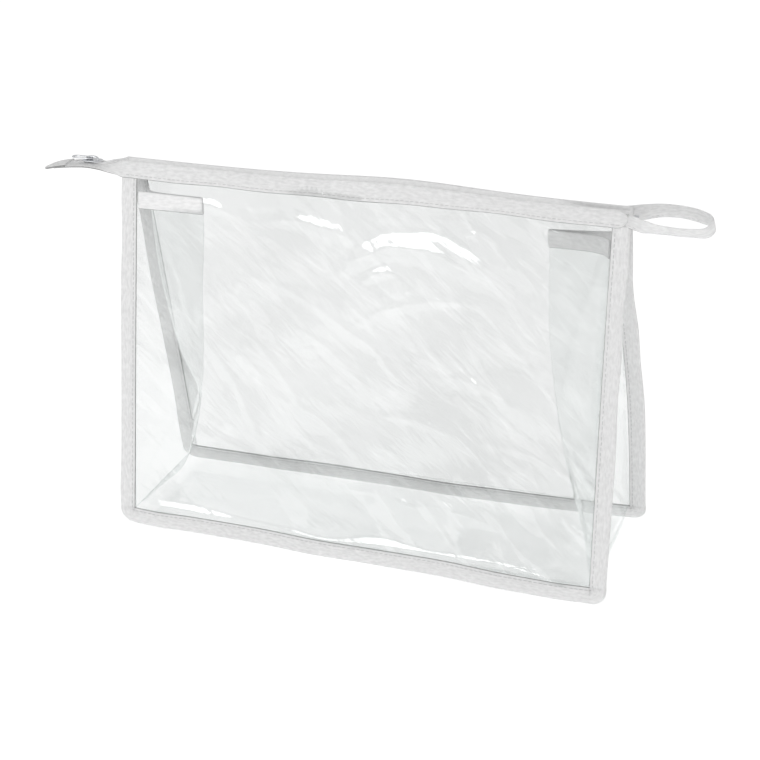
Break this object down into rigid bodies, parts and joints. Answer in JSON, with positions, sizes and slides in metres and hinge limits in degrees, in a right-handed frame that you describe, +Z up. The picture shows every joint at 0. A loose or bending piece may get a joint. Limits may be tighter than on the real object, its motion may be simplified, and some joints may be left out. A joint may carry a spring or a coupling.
{
  "type": "makeup bag",
  "caption": "Clear film makeup bag with walls that lean together under a zip, pleated sides, fabric edge tape and a loop at each end of the zip.",
  "frame": {"origin": "centre of the flat floor that the bag stands on", "axes": "+X right along the zip, front wall facing -Y, +Z up"},
  "size_m": [0.356, 0.0926, 0.1911],
  "materials": {
    "film": "clear soft vinyl film, glossy, lightly creased",
    "edge_tape": "white plain woven binding tape, matt",
    "zip_tape": "white knitted zip tape",
    "coil": "white nylon coil",
    "metal": "plated zinc casting"
  },
  "bodies": {
    "root": {"bottom_gusset": "film", "left_gusset": "film", "right_gusset": "film", "left_gusset_binding": "edge_tape", "right_gusset_binding": "edge_tape", "left_loop": "edge_tape", "right_loop": "edge_tape", "end_stop": "metal"},
    "front_wall": {"front_panel": "film", "front_binding": "edge_tape", "front_band": "edge_tape", "front_zip_tape": "zip_tape", "front_coil": "coil"},
    "back_wall": {"back_panel": "film", "back_binding": "edge_tape", "back_band": "edge_tape", "back_zip_tape": "zip_tape", "back_coil": "coil"},
    "slider": {"slider_body": "metal", "slider_bail": "metal"},
    "puller": {"puller": "metal"}
  },
  "joints": [
    {"name": "zip_slide", "type": "slide", "parent": "root", "child": "slider", "axis": [1, 0, 0], "range_m": [0, 0.283], "deforming": ["front_zip_tape", "back_zip_tape", "front_coil", "back_coil"]},
    {"name": "front_wall_swing", "type": "hinge", "parent": "root", "child": "front_wall", "pos_m": [0, -0.0456, 0], "axis": [1, 0, 0], "range_deg": [0, 9.5], "deforming": ["front_zip_tape", "front_coil"]},
    {"name": "back_wall_swing", "type": "hinge", "parent": "root", "child": "back_wall", "pos_m": [0, 0.0456, 0], "axis": [-1, 0, 0], "range_deg": [0, 9.5], "deforming": ["back_zip_tape", "back_coil"]},
    {"name": "puller_swing", "type": "hinge", "parent": "slider", "child": "puller", "pos_m": [-0.156, 0, 0.18969], "axis": [0, 1, 0], "range_deg": [0, 168]}
  ],
  "couplings": [
    {"joint": "front_wall_swing", "follows": "zip_slide", "rad_per_m": 0.585},
    {"joint": "back_wall_swing", "follows": "zip_slide", "rad_per_m": 0.585}
  ]
}
